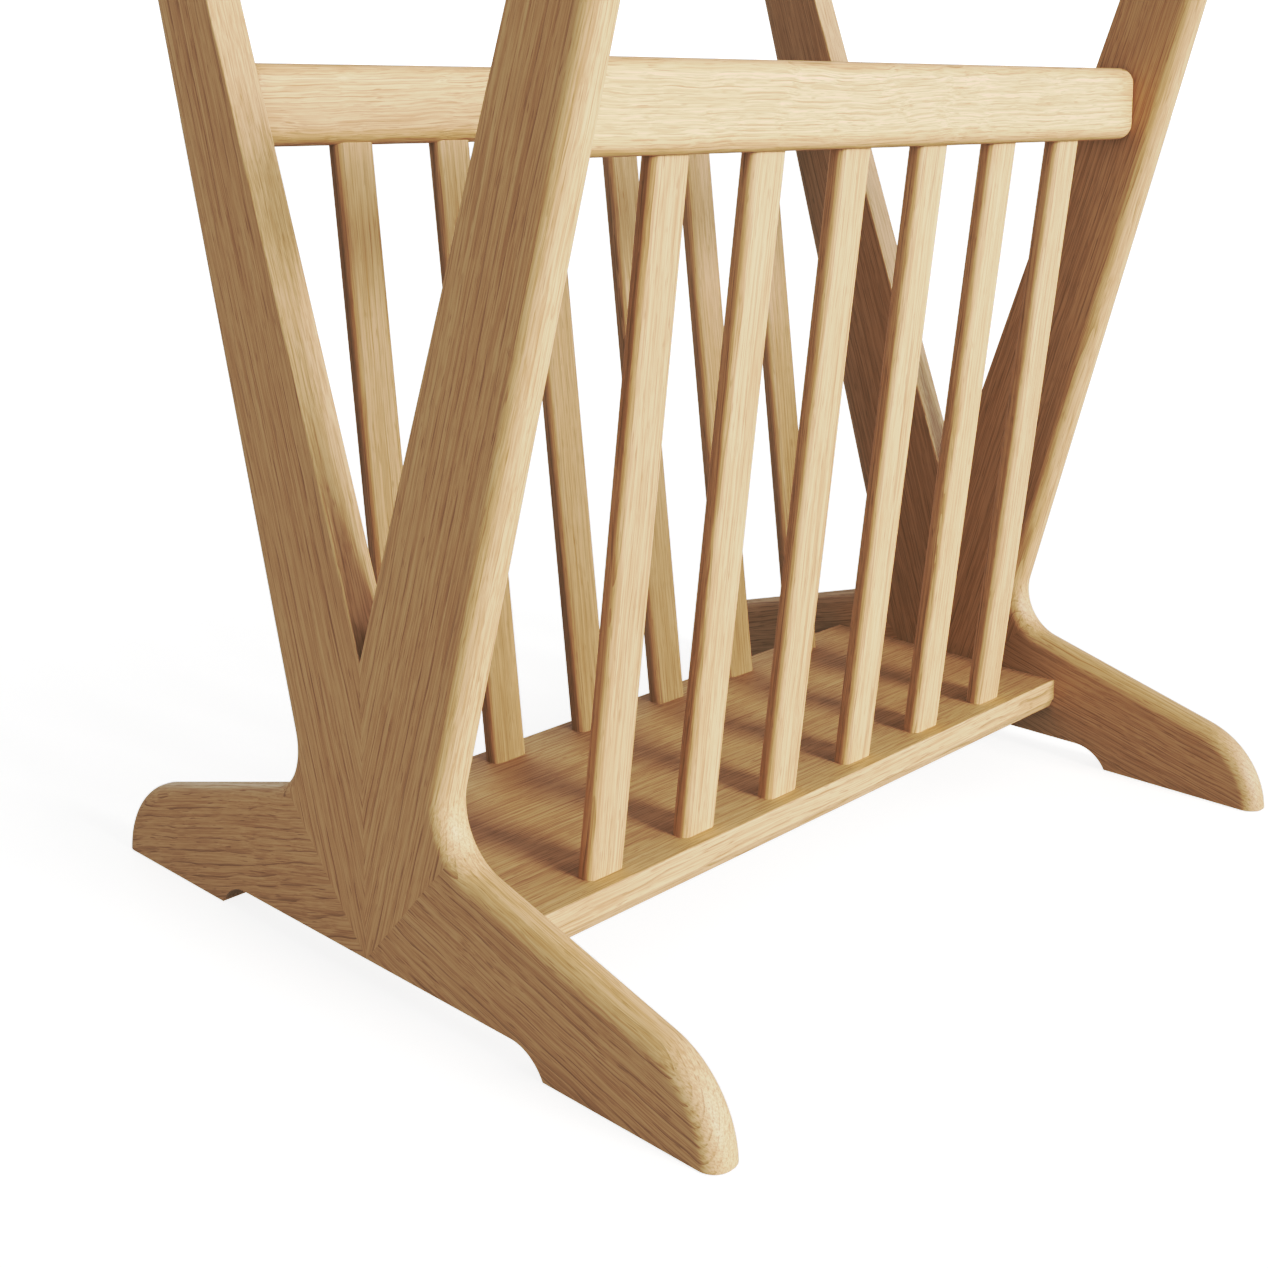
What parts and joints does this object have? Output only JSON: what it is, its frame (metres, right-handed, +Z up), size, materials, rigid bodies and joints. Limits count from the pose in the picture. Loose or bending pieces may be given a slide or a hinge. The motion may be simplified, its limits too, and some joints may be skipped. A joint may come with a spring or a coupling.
{
  "type": "magazine rack",
  "caption": "Free-standing oak magazine rack: flat base board and two leaning spindle sides with rounded rails, held between V-shaped end frames on splayed feet.",
  "frame": {"origin": "on the floor under the middle of the rack", "axes": "+X along the rack from the left end frame to the right one, -Y towards the front, +Z up"},
  "size_m": [0.458, 0.4022, 0.4798],
  "materials": {
    "oak_frame": "oiled, satin",
    "oak_board": "oiled, satin",
    "oak_rail": "oiled, satin",
    "oak_spindle": "oiled, satin",
    "beech_joinery": "bare"
  },
  "bodies": {
    "root": {"left_front_arm": "oak_frame", "left_front_foot": "oak_frame", "left_rear_arm": "oak_frame", "left_rear_foot": "oak_frame", "left_mitre_spline": "beech_joinery", "left_foot_tenons": "beech_joinery", "left_board_dowels": "beech_joinery", "right_front_arm": "oak_frame", "right_front_foot": "oak_frame", "right_rear_arm": "oak_frame", "right_rear_foot": "oak_frame", "right_mitre_spline": "beech_joinery", "right_foot_tenons": "beech_joinery", "right_board_dowels": "beech_joinery", "bottom_board": "oak_board", "front_rail": "oak_rail", "front_rail_dowels": "beech_joinery", "front_spindle_1": "oak_spindle", "front_spindle_2": "oak_spindle", "front_spindle_3": "oak_spindle", "front_spindle_4": "oak_spindle", "front_spindle_5": "oak_spindle", "front_spindle_6": "oak_spindle", "rear_rail": "oak_rail", "rear_rail_dowels": "beech_joinery", "rear_spindle_1": "oak_spindle", "rear_spindle_2": "oak_spindle", "rear_spindle_3": "oak_spindle", "rear_spindle_4": "oak_spindle", "rear_spindle_5": "oak_spindle", "rear_spindle_6": "oak_spindle"}
  },
  "joints": []
}
